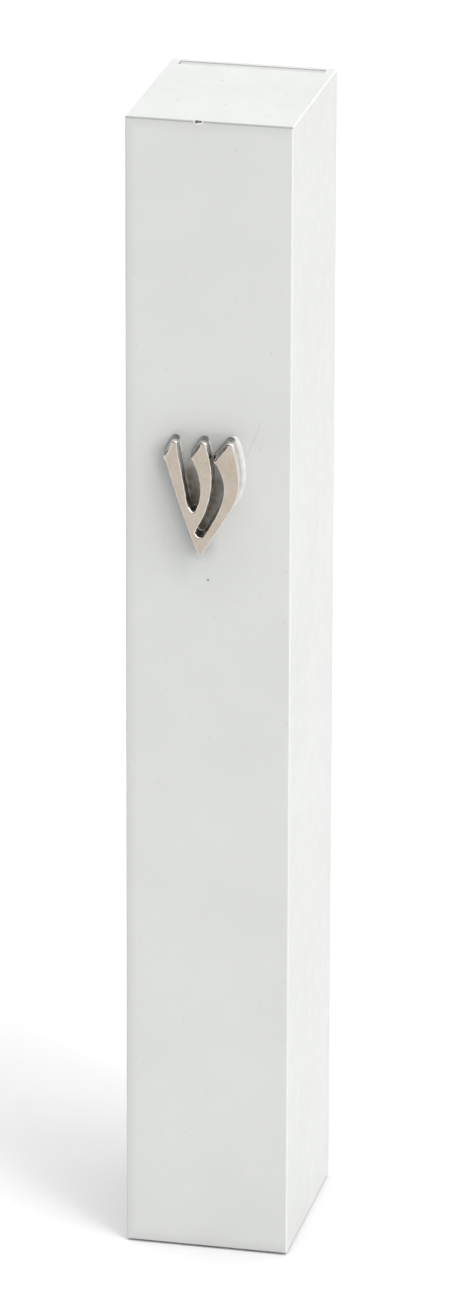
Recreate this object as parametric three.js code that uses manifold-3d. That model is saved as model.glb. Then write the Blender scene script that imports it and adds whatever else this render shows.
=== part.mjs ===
// A mezuzah case: a white painted cover with a cast metal letter, which slides down over a back plate.
// The back plate carries a foot, a stop, two strips of foam tape and a rolled parchment in a clear sleeve.
// Millimetres, +Z up, front towards -Y. The origin is under the middle of the whole part's footprint.
import * as THREE from "three";
import { mergeVertices } from "three/addons/utils/BufferGeometryUtils.js";
import Module from "manifold-3d";

const wasm = await Module();
wasm.setup();

// Outside of the case.
const CASE_WIDTH = 21;
const CASE_DEPTH = 26;
const CASE_HEIGHT = 150;
const WALL = 1.2;
const TOP_WALL = 1.5;
const EDGE_RADIUS = 0.3; // of the upright edges
const END_RADIUS = 0.2; // of the edges round the top and the lower end
const SHADOW_GAP = 0.3; // the cover's lower edge stays this far above the foot's underside

// Guides for the back plate, along both side walls.
const LIP_WIDTH = 2.2;
const LIP_THICKNESS = 0.8;
const RIB_WIDTH = 1.6;
const RIB_THICKNESS = 1;
const GROOVE = 1.7;
const BRIDGE_HEIGHT = 4; // of the strip that joins the lips at the top

// Back plate.
const PLATE_THICKNESS = 1.4;
const PLATE_SINK = 0.15; // its top end lies this far below the top face
const PLATE_SIDE_PLAY = 0.2;
const WALL_SCREW_RADIUS = 1.7;
const WALL_SCREW_HEAD_RADIUS = 3.3;
const WALL_SCREW_HEIGHTS = [17, 134];

// Foot and stop.
const FOOT_HEIGHT = 6;
const FOOT_PLAY = 0.3;
const SEAT_RADIUS = 7.1;
const SEAT_DEPTH = 3;
const STOP_WIDTH = 12;
const STOP_DEPTH = 5;
const STOP_HEIGHT = 5.4;
const REST_GAP = 0.1; // between pieces that bear on each other

// Small countersunk screws that hold the foot and the stop.
const SCREW_RADIUS = 0.9;
const SCREW_HEAD_RADIUS = 1.8;
const SCREW_HEAD_HEIGHT = 0.9;
const SCREW_LENGTH = 5.4;
const SCREW_PLAY = 0.1;
const FOOT_SCREW_SPACING = 9.6;
const FOOT_SCREW_HEIGHT = 3;
const STOP_SCREW_SPACING = 7;

// Foam tape.
const TAPE_WIDTH = 11;
const TAPE_LENGTH = 40;
const TAPE_PROUD = 0.3; // how far the tape stands out behind the lips
const TAPE_MIDDLES = { upper: 106, lower: 46 };

// Parchment and its sleeve.
const ROLL_RADIUS = 6.2;
const ROLL_CORE_RADIUS = 3;
const ROLL_TURNS = 4.25;
const ROLL_LENGTH = 120;
const PARCHMENT = 0.35;
const SLEEVE_RADIUS = 6.8;
const SLEEVE_WALL = 0.3;
const SLEEVE_LENGTH = 124;
const ROLL_Y = -0.6;

// Letter on the front.
const LETTER_THICKNESS = 2.4;
const LETTER_BEVEL = 0.12;
const LETTER_FOOT_HEIGHT = 94.9; // height of the letter's lower point
const GLUE_THICKNESS = 0.3;
const GLUE_BULGE = 0.5;

// Faces that follow from the sizes above, measured from the middle of the cover.
const halfWidth = CASE_WIDTH / 2;
const innerHalf = halfWidth - WALL;
const frontY = -CASE_DEPTH / 2;
const rearY = CASE_DEPTH / 2;
const innerFrontY = frontY + WALL;
const grooveRearY = rearY - LIP_THICKNESS;
const grooveFrontY = grooveRearY - GROOVE;
const plateFrontY = (grooveFrontY + grooveRearY - PLATE_THICKNESS) / 2;
const plateRearY = plateFrontY + PLATE_THICKNESS;
const ribFrontY = grooveFrontY - RIB_THICKNESS;
const ceiling = CASE_HEIGHT - TOP_WALL;
const seatFloor = FOOT_HEIGHT - SEAT_DEPTH;
const letterFrontY = frontY - GLUE_THICKNESS - LETTER_THICKNESS;
const tapeRearY = rearY + TAPE_PROUD;

const finish = (color, roughness, metalness, extra = {}) =>
  new THREE.MeshStandardMaterial({ color, roughness, metalness, ...extra });

const WHITE_PAINT = finish(0xe6e8e5, 0.42, 0);
const PLATE_PAINT = finish(0xdfe1de, 0.5, 0);
const NICKEL = finish(0xc2b9ae, 0.24, 1);
const STEEL = finish(0xa9abad, 0.35, 1);
const MOULDED_WHITE = finish(0xd9dad6, 0.6, 0);
const FOAM = finish(0xf0efe9, 0.9, 0);
const GLUE = finish(0xe9e8e0, 0.15, 0);
const SKIN = finish(0xe2d3b0, 0.75, 0);
const CLEAR_FILM = finish(0xf4f8fa, 0.1, 0, { transparent: true, opacity: 0.3 });

// A three.js geometry as a solid that can be joined and cut.
function solid(geometry, matrix = new THREE.Matrix4()) {
  const bare = geometry.clone().applyMatrix4(matrix);
  bare.deleteAttribute("normal");
  bare.deleteAttribute("uv");
  const merged = mergeVertices(bare, 1e-4);
  return new wasm.Manifold(
    new wasm.Mesh({
      numProp: 3,
      vertProperties: merged.attributes.position.array,
      triVerts: new Uint32Array(merged.index.array),
    }),
  );
}

// A solid as a named mesh. Its faces stay flat, so it takes its normals from separate corners.
function piece(name, shape, material) {
  const { vertProperties, triVerts } = shape.getMesh();
  const geometry = new THREE.BufferGeometry()
    .setAttribute("position", new THREE.BufferAttribute(vertProperties, 3))
    .setIndex(new THREE.BufferAttribute(triVerts, 1))
    .toNonIndexed();
  geometry.computeVertexNormals();
  const mesh = new THREE.Mesh(geometry, material);
  mesh.name = name;
  return mesh;
}

const at = (x, y, z) => new THREE.Matrix4().makeTranslation(x, y, z);
const turnedToFront = (x, y, z) => at(x, y, z).multiply(new THREE.Matrix4().makeRotationX(Math.PI / 2));

function block(x0, x1, y0, y1, z0, z1) {
  const box = new THREE.BoxGeometry(x1 - x0, y1 - y0, z1 - z0);
  return solid(box, at((x0 + x1) / 2, (y0 + y1) / 2, (z0 + z1) / 2));
}

// A plan outline, given as [x, y] corners, raised from z0 to z1.
function raised(corners, z0, z1) {
  const shape = new THREE.Shape(corners.map(([x, y]) => new THREE.Vector2(x, y)));
  const prism = new THREE.ExtrudeGeometry(shape, { depth: z1 - z0, bevelEnabled: false });
  return solid(prism, at(0, 0, z0));
}

function upright(radius, z0, z1, x, y, segments = 48) {
  const cylinder = new THREE.CylinderGeometry(radius, radius, z1 - z0, segments);
  const standing = at(x, y, (z0 + z1) / 2).multiply(new THREE.Matrix4().makeRotationX(Math.PI / 2));
  return solid(cylinder, standing);
}

// A turned shape whose axis runs along Y: profile holds [radius, y] from its front end to its rear end.
function turnedAlongY(profile, x, z, segments = 32) {
  const points = profile.map(([radius, y]) => new THREE.Vector2(radius, y));
  return solid(new THREE.LatheGeometry(points, segments), at(x, 0, z));
}

// The outside of the cover: a rectangle with rounded upright edges, and slightly rounded round both ends.
function coverBlank() {
  const x = halfWidth - EDGE_RADIUS;
  const y = CASE_DEPTH / 2 - EDGE_RADIUS;
  const quarter = Math.PI / 2;
  const plan = new THREE.Shape();
  plan.absarc(x, -y, EDGE_RADIUS, -quarter, 0);
  plan.absarc(x, y, EDGE_RADIUS, 0, quarter);
  plan.absarc(-x, y, EDGE_RADIUS, quarter, 2 * quarter);
  plan.absarc(-x, -y, EDGE_RADIUS, 2 * quarter, 3 * quarter);
  const height = CASE_HEIGHT - SHADOW_GAP;
  const blank = new THREE.ExtrudeGeometry(plan, {
    depth: height - 2 * END_RADIUS,
    bevelThickness: END_RADIUS,
    bevelSize: END_RADIUS,
    bevelOffset: -END_RADIUS,
    bevelSegments: 3,
    curveSegments: 4,
  });
  return solid(blank, at(0, 0, SHADOW_GAP + END_RADIUS));
}

function caseCover() {
  const below = SHADOW_GAP - 1;
  const above = CASE_HEIGHT + 1;
  const rib = innerHalf - RIB_WIDTH;
  const room = raised(
    [
      [-innerHalf, innerFrontY],
      [innerHalf, innerFrontY],
      [innerHalf, ribFrontY],
      [rib, ribFrontY],
      [rib, grooveFrontY],
      [-rib, grooveFrontY],
      [-rib, ribFrontY],
      [-innerHalf, ribFrontY],
    ],
    below,
    ceiling,
  );
  const groove = block(-innerHalf, innerHalf, grooveFrontY, grooveRearY, below, above);
  const lip = innerHalf - LIP_WIDTH;
  const rearOpening = block(-lip, lip, grooveFrontY, rearY + 1, below, CASE_HEIGHT - BRIDGE_HEIGHT);
  return coverBlank().subtract(room).subtract(groove).subtract(rearOpening);
}

// The letter's outline, x from the middle of the case and y up from the letter's lower point.
// bulge pushes the outer side of the right arm out.
function letterOutline(bulge = 0) {
  const letter = new THREE.Shape();
  letter.moveTo(-3.66, 14.7);
  letter.lineTo(-4.85, 12.4);
  letter.quadraticCurveTo(-3.11, 6.35, -0.85, 0.5); // outer side of the left arm
  letter.quadraticCurveTo(-0.4, -0.35, 0.05, 0.5); // lower point
  letter.lineTo(3.35 + 0.4 * bulge, 6 - 0.2 * bulge);
  letter.bezierCurveTo(4.65 + bulge, 8.1, 5 + 1.3 * bulge, 10.6, 3.6 + bulge, 14.72 + 0.4 * bulge);
  letter.lineTo(3.35, 14.78);
  letter.lineTo(1.42, 12.35);
  letter.bezierCurveTo(3.3, 9.3, 2.9, 7.2, 0, 2.6); // inner side of the right arm
  letter.quadraticCurveTo(-0.6, 2.05, -1.2, 3.05); // bottom of the right slot
  letter.bezierCurveTo(1.3, 6.6, 1.6, 10.9, 0.2, 14.62);
  letter.lineTo(-0.02, 14.72);
  letter.lineTo(-1.47, 12.5);
  letter.bezierCurveTo(-0.35, 10.2, -0.05, 8.3, -0.95, 6); // left side of the middle arm
  letter.quadraticCurveTo(-1.4, 5.2, -1.95, 6.2); // bottom of the left slot
  letter.lineTo(-3.45, 14.6);
  letter.closePath();
  return letter;
}

function shinEmblem() {
  const plate = new THREE.ExtrudeGeometry(letterOutline(), {
    depth: LETTER_THICKNESS - LETTER_BEVEL,
    bevelThickness: LETTER_BEVEL,
    bevelSize: LETTER_BEVEL,
    bevelOffset: -LETTER_BEVEL,
    bevelSegments: 2,
    curveSegments: 10,
  });
  const standing = turnedToFront(0, frontY - GLUE_THICKNESS, LETTER_FOOT_HEIGHT);
  const back = block(-halfWidth, halfWidth, frontY - GLUE_THICKNESS, frontY + 1, 0, CASE_HEIGHT);
  return solid(plate, standing).subtract(back);
}

function emblemAdhesive() {
  const film = new THREE.ExtrudeGeometry(letterOutline(GLUE_BULGE), {
    depth: GLUE_THICKNESS,
    bevelEnabled: false,
    curveSegments: 8,
  });
  return solid(film, turnedToFront(0, frontY, LETTER_FOOT_HEIGHT));
}

const FOOT_SCREWS = [-1, 1].map((side) => [(side * FOOT_SCREW_SPACING) / 2, FOOT_SCREW_HEIGHT]);
const stopMiddle = ceiling - REST_GAP - STOP_HEIGHT / 2;
const STOP_SCREWS = [-1, 1].map((side) => [(side * STOP_SCREW_SPACING) / 2, stopMiddle]);

// The space that a small screw needs, or with no play the screw itself: head flush with the plate's back.
function screwBody(x, z, play) {
  const radius = SCREW_RADIUS + play;
  const headRadius = SCREW_HEAD_RADIUS + play;
  const rear = plateRearY + (play ? 0.5 : -0.05);
  const neck = plateRearY - SCREW_HEAD_HEIGHT;
  const tip = plateRearY - SCREW_LENGTH - play;
  const profile = [
    [0, tip],
    [radius * 0.6, tip],
    [radius, tip + 0.6],
    [radius, neck - play],
    [headRadius, plateRearY - 0.15],
    [headRadius, rear],
    [0, rear],
  ];
  return turnedAlongY(profile, x, z, play ? 24 : 20);
}

// A small countersunk screw with a cross recess in its head.
function smallScrew([x, z]) {
  const recess = (width, height) =>
    block(x - width / 2, x + width / 2, plateRearY - 0.6, plateRearY + 1, z - height / 2, z + height / 2);
  return screwBody(x, z, 0).subtract(recess(1.9, 0.42)).subtract(recess(0.42, 1.9));
}

function backPlate() {
  const half = innerHalf - PLATE_SIDE_PLAY;
  let plate = block(-half, half, plateFrontY, plateRearY, SHADOW_GAP, CASE_HEIGHT - PLATE_SINK);
  for (const z of WALL_SCREW_HEIGHTS) {
    const hole = [
      [0, plateFrontY - 0.5],
      [WALL_SCREW_HEAD_RADIUS, plateFrontY - 0.5],
      [WALL_SCREW_HEAD_RADIUS, plateFrontY],
      [WALL_SCREW_RADIUS, plateRearY - 0.3],
      [WALL_SCREW_RADIUS, plateRearY + 0.5],
      [0, plateRearY + 0.5],
    ];
    plate = plate.subtract(turnedAlongY(hole, 0, z, 32));
  }
  for (const [x, z] of [...FOOT_SCREWS, ...STOP_SCREWS]) {
    plate = plate.subtract(screwBody(x, z, SCREW_PLAY));
  }
  return plate;
}

// The foot fills the cover's lower end, and is notched round the two guide ribs.
function footBlock() {
  const half = innerHalf - FOOT_PLAY;
  const neck = innerHalf - RIB_WIDTH - FOOT_PLAY;
  const shoulder = ribFrontY - FOOT_PLAY;
  const front = innerFrontY + FOOT_PLAY;
  const rear = plateFrontY - REST_GAP;
  const chamfer = 0.6;
  let foot = raised(
    [
      [-half + chamfer, front],
      [half - chamfer, front],
      [half, front + chamfer],
      [half, shoulder],
      [neck, shoulder],
      [neck, rear],
      [-neck, rear],
      [-neck, shoulder],
      [-half, shoulder],
      [-half, front + chamfer],
    ],
    0,
    FOOT_HEIGHT,
  );
  foot = foot.subtract(upright(SEAT_RADIUS, seatFloor, FOOT_HEIGHT + 1, 0, ROLL_Y));
  for (const [x, z] of FOOT_SCREWS) foot = foot.subtract(screwBody(x, z, SCREW_PLAY));
  return foot;
}

function stopBlock() {
  const rear = plateFrontY - REST_GAP;
  const half = STOP_WIDTH / 2;
  const chamfer = 1;
  const outline = [
    [-half, rear],
    [-half, rear - STOP_DEPTH + chamfer],
    [-half + chamfer, rear - STOP_DEPTH],
    [half - chamfer, rear - STOP_DEPTH],
    [half, rear - STOP_DEPTH + chamfer],
    [half, rear],
  ];
  const top = ceiling - REST_GAP;
  let stop = raised(outline, top - STOP_HEIGHT, top);
  for (const [x, z] of STOP_SCREWS) stop = stop.subtract(screwBody(x, z, SCREW_PLAY));
  return stop;
}

function mountingTape(middle) {
  const half = TAPE_WIDTH / 2;
  return block(-half, half, plateRearY, tapeRearY, middle - TAPE_LENGTH / 2, middle + TAPE_LENGTH / 2);
}

function scrollSleeve() {
  const inner = SLEEVE_RADIUS - SLEEVE_WALL;
  const floor = seatFloor + REST_GAP;
  const tube = upright(SLEEVE_RADIUS, floor, floor + SLEEVE_LENGTH, 0, ROLL_Y);
  return tube.subtract(upright(inner, floor - 1, floor + SLEEVE_LENGTH + 1, 0, ROLL_Y));
}

// The parchment is a flat spiral in plan: out along its inner face and back along its outer face.
function scroll() {
  const steps = Math.round(ROLL_TURNS * 20);
  const outerStart = ROLL_RADIUS - PARCHMENT;
  const spiral = (fraction, offset) => {
    const angle = fraction * ROLL_TURNS * 2 * Math.PI;
    const radius = ROLL_CORE_RADIUS + fraction * (outerStart - ROLL_CORE_RADIUS) + offset;
    return [radius * Math.cos(angle), ROLL_Y + radius * Math.sin(angle)];
  };
  const inner = [];
  const outer = [];
  for (let i = 0; i <= steps; i++) {
    inner.push(spiral(i / steps, 0));
    outer.push(spiral(i / steps, PARCHMENT));
  }
  const floor = seatFloor + REST_GAP;
  return raised([...outer, ...inner.reverse()], floor, floor + ROLL_LENGTH);
}

const cover = new THREE.Group();
cover.add(
  piece("case_cover", caseCover(), WHITE_PAINT),
  piece("shin_emblem", shinEmblem(), NICKEL),
  piece("emblem_adhesive", emblemAdhesive(), GLUE),
);

const back = new THREE.Group();
back.add(
  piece("back_plate", backPlate(), PLATE_PAINT),
  piece("foot_block", footBlock(), MOULDED_WHITE),
  piece("stop_block", stopBlock(), MOULDED_WHITE),
  piece("foot_screw_left", smallScrew(FOOT_SCREWS[0]), STEEL),
  piece("foot_screw_right", smallScrew(FOOT_SCREWS[1]), STEEL),
  piece("stop_screw_left", smallScrew(STOP_SCREWS[0]), STEEL),
  piece("stop_screw_right", smallScrew(STOP_SCREWS[1]), STEEL),
  piece("mounting_tape_upper", mountingTape(TAPE_MIDDLES.upper), FOAM),
  piece("mounting_tape_lower", mountingTape(TAPE_MIDDLES.lower), FOAM),
  piece("scroll_sleeve", scrollSleeve(), CLEAR_FILM),
  piece("scroll", scroll(), SKIN),
);

const mezuzahCase = new THREE.Group();
mezuzahCase.add(cover, back);
// The footprint runs from the letter's face to the back of the tape.
mezuzahCase.position.y = -(letterFrontY + tapeRearY) / 2;

export default mezuzahCase;
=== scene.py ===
import math

import bmesh
import bpy
import numpy as np
from mathutils import Matrix, Vector, noise


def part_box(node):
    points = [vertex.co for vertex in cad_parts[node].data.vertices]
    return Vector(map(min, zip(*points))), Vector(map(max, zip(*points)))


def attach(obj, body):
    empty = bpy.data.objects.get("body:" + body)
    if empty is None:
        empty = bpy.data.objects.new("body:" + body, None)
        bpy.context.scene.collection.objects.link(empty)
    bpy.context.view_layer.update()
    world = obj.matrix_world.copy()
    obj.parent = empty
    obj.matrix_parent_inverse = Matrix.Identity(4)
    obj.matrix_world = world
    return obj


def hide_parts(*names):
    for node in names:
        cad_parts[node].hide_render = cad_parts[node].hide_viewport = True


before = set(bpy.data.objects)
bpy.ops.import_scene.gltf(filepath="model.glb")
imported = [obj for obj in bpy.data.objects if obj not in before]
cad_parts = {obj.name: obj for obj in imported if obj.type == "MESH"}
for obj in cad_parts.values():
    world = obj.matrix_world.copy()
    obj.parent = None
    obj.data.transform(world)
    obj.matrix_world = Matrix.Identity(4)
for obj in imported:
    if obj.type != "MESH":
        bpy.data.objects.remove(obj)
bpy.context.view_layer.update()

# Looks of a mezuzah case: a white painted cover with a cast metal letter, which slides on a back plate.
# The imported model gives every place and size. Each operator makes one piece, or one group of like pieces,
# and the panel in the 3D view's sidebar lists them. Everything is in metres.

bl_info = {
    "name": "Mezuzah Case",
    "version": (1, 0, 0),
    "blender": (4, 5, 0),
    "location": "View3D > Sidebar > Mezuzah",
    "description": "Makes a mezuzah case: cover, letter, back plate, foot, tape and parchment",
    "category": "Object",
}

MM = 0.001

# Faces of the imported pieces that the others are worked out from.
COVER_LOW, COVER_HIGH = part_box("case_cover")
PLATE_LOW, PLATE_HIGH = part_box("back_plate")
FOOT_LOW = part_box("foot_block")[0]
STOP_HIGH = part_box("stop_block")[1]
LETTER_LOW, LETTER_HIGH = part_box("shin_emblem")
ROLL_LOW, ROLL_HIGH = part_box("scroll")
SLEEVE_LOW, SLEEVE_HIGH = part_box("scroll_sleeve")

# Room that the cover leaves beside, before and behind the plate, before the foot, and over the stop.
SIDE_PLAY = 0.14 * MM
FRONT_PLAY = 0.1 * MM
REAR_PLAY = 0.06 * MM
FOOT_PLAY = 0.3 * MM
REST_GAP = 0.1 * MM

# The chip is two lumps: how far each stands to the side, and how large it is, as shares of the chip's size.
CHIP_LUMPS = ((-0.55, 1.0), (0.6, 0.8))

# Marks on the cover's front, in millimetres in the frame. Each spot has its x and z, radius and strength,
# and each line has the x and z of its two ends.
FRONT_SPOTS = ((0.0, 90.9, 0.2, 0.85), (7.9, 121.0, 0.13, 0.35), (-5.2, 76.0, 0.11, 0.3))
SCRATCH = ((6.5, 111.6), (4.9, 107.3))
# Ends of the painted shadow beside the letter's left arm, and of the lines of painted shade, tinted brown,
# in its slots.
PAINTED_SHADOW_BESIDE_ARM = ((-5.3, 107.0), (-0.9, 95.3))
PAINTED_SHADE_IN_SLOTS = (((-0.9, 97.2), (1.0, 103.4)), ((-1.9, 99.8), (-2.1, 104.4)))

# The studio lights: name, where each stands, strength, and spread in degrees.
LIGHTS = (
    ("key", (0.745, -0.42, 0.52), 1.68, 50),
    ("rear fill", (-0.85, 0.52, 0.25), 0.6, 30),
    ("sparkle", (0.45, -0.4, 0.8), 0.35, 9),
)
CEILING_STRENGTH = 3.12


# --------------------------------------------------------------------------------------------- settings


def length(name, description, default):
    """A size in metres, shown in the scene's length unit."""
    return bpy.props.FloatProperty(
        name=name, description=description, default=default, min=0.0, precision=5, unit="LENGTH"
    )


def amount(name, description, default):
    """A share from 0 to 1."""
    return bpy.props.FloatProperty(
        name=name, description=description, default=default, min=0.0, max=1.0, subtype="FACTOR"
    )


def colour(name, description, default):
    """A colour as red, green and blue."""
    return bpy.props.FloatVectorProperty(
        name=name, description=description, default=default, min=0.0, max=1.0, size=3, subtype="COLOR"
    )


def angle(name, description, degrees):
    """An angle, with its default in degrees."""
    return bpy.props.FloatProperty(
        name=name, description=description, default=math.radians(degrees), subtype="ANGLE"
    )


class CoverSettings(bpy.types.PropertyGroup):
    """The painted cover"""

    edge_radius: length("Edge radius", "Rounding of the four upright edges", 0.00026)
    end_radius: length("End radius", "Rounding of the edges round the top and the lower end", 0.00014)
    inner_bevel: length("Inner bevel", "Softening of the edges of the grooves and lips", 0.00006)
    rib_width: length("Rib width", "How far the guide ribs stand in from the side walls", 0.0016)
    rib_thickness: length("Rib thickness", "Thickness of the guide ribs, front to back", 0.001)
    bridge_height: length("Bridge height", "Height of the strip that joins the rear lips at the top", 0.004)
    lip_width: length("Lip width", "How far the rear lips stand in from the side walls", 0.0022)
    chip_place: length("Chip place", "How far along the upper front edge the chip lies", 0.0092)
    chip_size: length("Chip size", "Half the width of the chip", 0.00032)
    paint: colour("Paint", "Colour of the white coat", (0.64, 0.652, 0.635))
    bare: colour("Bare metal", "Colour of the metal where the paint is gone", (0.13, 0.13, 0.125))
    gloss: amount("Roughness", "Roughness of the coat", 0.42)
    # Strength of the painted shade on the front towards its left edge and both ends.
    edge_shade: amount("Edge shade", "How much the coat darkens towards the left edge and both ends", 0.16)
    speck_share: amount("Specks", "Share of the places that could hold a speck of dust that do", 0.4)


class LetterSettings(bpy.types.PropertyGroup):
    """The metal letter and the glue under it"""

    edge_radius: length("Edge radius", "Rounding of the front edge", 0.00015)
    flare: length("Flare", "How much wider the letter is at its back than at its face", 0.00008)
    lean: length("Lean", "How far the letter's back stands to the left of its face", 0.0003)
    end_round: length("End rounding", "Rounding of the front edge at the cut upper ends of the arms", 0.0004)
    unevenness: length("Unevenness", "Height of the small waves that casting leaves in the sides", 0.00004)
    nickel: colour("Nickel", "Colour of the plating", (0.515, 0.46, 0.395))
    face_roughness: amount("Face roughness", "Roughness of the flat face", 0.27)
    side_roughness: amount("Side roughness", "Roughness of the sides", 0.1)
    glue_width: length("Glue width", "How far the glue stands out beside the right arm", 0.00014)


class BackSettings(bpy.types.PropertyGroup):
    """The back plate, and what is fixed to it"""

    paint: colour("Plate paint", "Colour of the back plate's coat", (0.60, 0.61, 0.595))
    plastic: colour("Plastic", "Colour of the foot and the stop", (0.70, 0.70, 0.67))
    steel: colour("Steel", "Colour of the small screws", (0.46, 0.46, 0.47))
    foam: colour("Foam", "Colour of the foam tape", (0.84, 0.83, 0.79))
    liner: colour("Liner", "Colour of the tape's peel-off liner", (0.72, 0.62, 0.42))
    edge_radius: length("Edge radius", "Rounding of the plate's, foot's and stop's edges", 0.00015)


class ScrollSettings(bpy.types.PropertyGroup):
    """The rolled parchment and its sleeve"""

    turns: bpy.props.FloatProperty(
        name="Turns", description="Turns of the rolled parchment", default=4.25, min=1.0, max=8.0
    )
    thickness: length("Thickness", "Thickness of the parchment", 0.0003)
    core_radius: length("Core radius", "Radius of the hollow down the middle of the roll", 0.003)
    skin: colour("Parchment", "Colour of the parchment", (0.68, 0.575, 0.405))
    film: colour("Film", "Colour of the clear sleeve", (0.93, 0.95, 0.96))
    film_wall: length("Film wall", "Thickness of the sleeve's wall", 0.00018)


class StageSettings(bpy.types.PropertyGroup):
    """The floor and the camera"""

    floor: colour("Floor", "Colour of the floor", (0.74, 0.74, 0.74))
    floor_radius: length("Floor radius", "Radius of the flat part of the floor", 3.6)
    rim_height: length("Rim height", "Height of the rim that the floor curves up into", 0.45)
    aim: bpy.props.FloatVectorProperty(
        name="Aim",
        description="Point that the camera looks at",
        default=(0.0, 0.00096, 0.07603),
        size=3,
        subtype="TRANSLATION",
        unit="LENGTH",
        precision=4,
    )
    azimuth: angle("Azimuth", "Camera's angle round the case, from the front towards the right side", 12.517)
    elevation: angle("Elevation", "Camera's angle above the horizon", 20.532)
    roll: angle("Roll", "Camera's turn about its own line of sight", 0.177)
    distance: length("Distance", "Distance from the camera to the point that it looks at", 1.008)
    lens: bpy.props.FloatProperty(
        name="Lens", description="Focal length for a 36 mm long side, in millimetres", default=219.2, min=1.0
    )


SETTINGS = {
    "mezuzah_cover": CoverSettings,
    "mezuzah_letter": LetterSettings,
    "mezuzah_back": BackSettings,
    "mezuzah_scroll": ScrollSettings,
    "mezuzah_stage": StageSettings,
}


# ------------------------------------------------------------------------------------------ mesh helpers


def rounded_rectangle(centre_y, half_x, half_y, radius, steps=6):
    """Plan outline with round corners, anticlockwise from the corner at +X +Y."""
    points = []
    for corner, (side_x, side_y) in enumerate(((1, 1), (-1, 1), (-1, -1), (1, -1))):
        for i in range(steps + 1):
            turn = math.radians(90 * (corner + i / steps))
            x = side_x * (half_x - radius) + radius * math.cos(turn)
            y = side_y * (half_y - radius) + radius * math.sin(turn)
            points.append((x, centre_y + y))
    return points


def object_from(bm, name):
    """A new object from a bmesh, with its faces turned outwards."""
    bmesh.ops.recalc_face_normals(bm, faces=bm.faces)
    mesh = bpy.data.meshes.new(name)
    bm.to_mesh(mesh)
    bm.free()
    obj = bpy.data.objects.new(name, mesh)
    bpy.context.scene.collection.objects.link(obj)
    return obj


def join_rings(bm, rings, wrap=False):
    """Joins closed rings of equally many points, one to the next, and returns their vertices.

    With wrap, the last ring is joined to the first as well.
    """
    loops = [[bm.verts.new(point) for point in ring] for ring in rings]
    pairs = list(zip(loops, loops[1:]))
    if wrap:
        pairs.append((loops[-1], loops[0]))
    for low, high in pairs:
        count = len(low)
        for i in range(count):
            j = (i + 1) % count
            bm.faces.new((low[i], low[j], high[j], high[i]))
    return loops


def capped_rings(name, rings):
    """A closed body: rings joined in order, with a flat face over the first and the last."""
    bm = bmesh.new()
    loops = join_rings(bm, rings)
    bm.faces.new(loops[0])
    bm.faces.new(loops[-1])
    return object_from(bm, name)


def prism(name, outline, z0, z1):
    """A straight body with the outline as its plan, from one height to another."""
    return capped_rings(name, [[(x, y, z) for x, y in outline] for z in (z0, z1)])


def sheet_body(name, first, second):
    """A closed thin body between two grids of points."""
    bm = bmesh.new()
    grids = [[[bm.verts.new(point) for point in row] for row in grid] for grid in (first, second)]
    rows, columns = len(first), len(first[0])
    for grid in grids:
        for j in range(rows - 1):
            for i in range(columns - 1):
                bm.faces.new((grid[j][i], grid[j][i + 1], grid[j + 1][i + 1], grid[j + 1][i]))

    def border(grid):
        """The points round a grid's edge, in order."""
        right = [grid[j][-1] for j in range(1, rows - 1)]
        left = [grid[j][0] for j in range(rows - 2, 0, -1)]
        return grid[0] + right + grid[-1][::-1] + left

    near, far = (border(grid) for grid in grids)
    for i in range(len(near)):
        j = (i + 1) % len(near)
        bm.faces.new((near[i], near[j], far[j], far[i]))
    return object_from(bm, name)


def settle(obj):
    """Makes the object's modifiers part of its mesh."""
    graph = bpy.context.evaluated_depsgraph_get()
    obj.data = bpy.data.meshes.new_from_object(obj.evaluated_get(graph))
    obj.modifiers.clear()


def carve(obj, cutters):
    """Cuts the cutters out of the object, and removes them."""
    for cutter in cutters:
        modifier = obj.modifiers.new("cut", "BOOLEAN")
        modifier.operation = "DIFFERENCE"
        modifier.solver = "EXACT"
        modifier.object = cutter
    settle(obj)
    for cutter in cutters:
        bpy.data.objects.remove(cutter)


def soften(obj, width, limit_degrees):
    """Rounds every edge that is sharper than the limit."""
    modifier = obj.modifiers.new("soften", "BEVEL")
    modifier.limit_method = "ANGLE"
    modifier.angle_limit = math.radians(limit_degrees)
    modifier.width = width
    modifier.segments = 2
    settle(obj)


def shade(obj, limit_degrees):
    """Smooth shading led by the larger faces, with creases where faces meet at more than the limit."""
    obj.data.shade_smooth()
    obj.data.set_sharp_from_angle(angle=math.radians(limit_degrees))
    modifier = obj.modifiers.new("shading", "WEIGHTED_NORMAL")
    modifier.weight = 100
    modifier.keep_sharp = True
    settle(obj)


def copy_of(node, name):
    """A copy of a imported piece, with its flat faces made whole again."""
    bm = bmesh.new()
    bm.from_mesh(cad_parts[node].data)
    bmesh.ops.remove_doubles(bm, verts=bm.verts, dist=1e-7)
    bmesh.ops.dissolve_limit(bm, angle_limit=math.radians(0.5), verts=bm.verts, edges=bm.edges)
    return object_from(bm, name)


def hand_over(obj, body, nodes, material):
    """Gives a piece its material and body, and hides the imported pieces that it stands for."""
    obj.data.materials.clear()
    obj.data.materials.append(material)
    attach(obj, body)
    if nodes:
        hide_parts(*nodes)


def number_attribute(mesh, name, values):
    """Gives a mesh one number for each point, which a material reads by its name."""
    attribute = mesh.attributes.new(name, "FLOAT", "POINT")
    attribute.data.foreach_set("value", np.array(values, np.float32))


# ------------------------------------------------------------------------------------------ node helpers


def set_inputs(tree, node, inputs):
    """Links or sets a node's inputs, by name or number."""
    for key, value in inputs.items():
        if isinstance(value, bpy.types.NodeSocket):
            tree.links.new(value, node.inputs[key])
        else:
            node.inputs[key].default_value = value


def add(tree, kind, inputs=None, **choices):
    """A shader node, with its choices made and its inputs set or linked."""
    node = tree.nodes.new("ShaderNode" + kind)
    for key, value in choices.items():
        setattr(node, key, value)
    set_inputs(tree, node, inputs or {})
    return node


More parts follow.
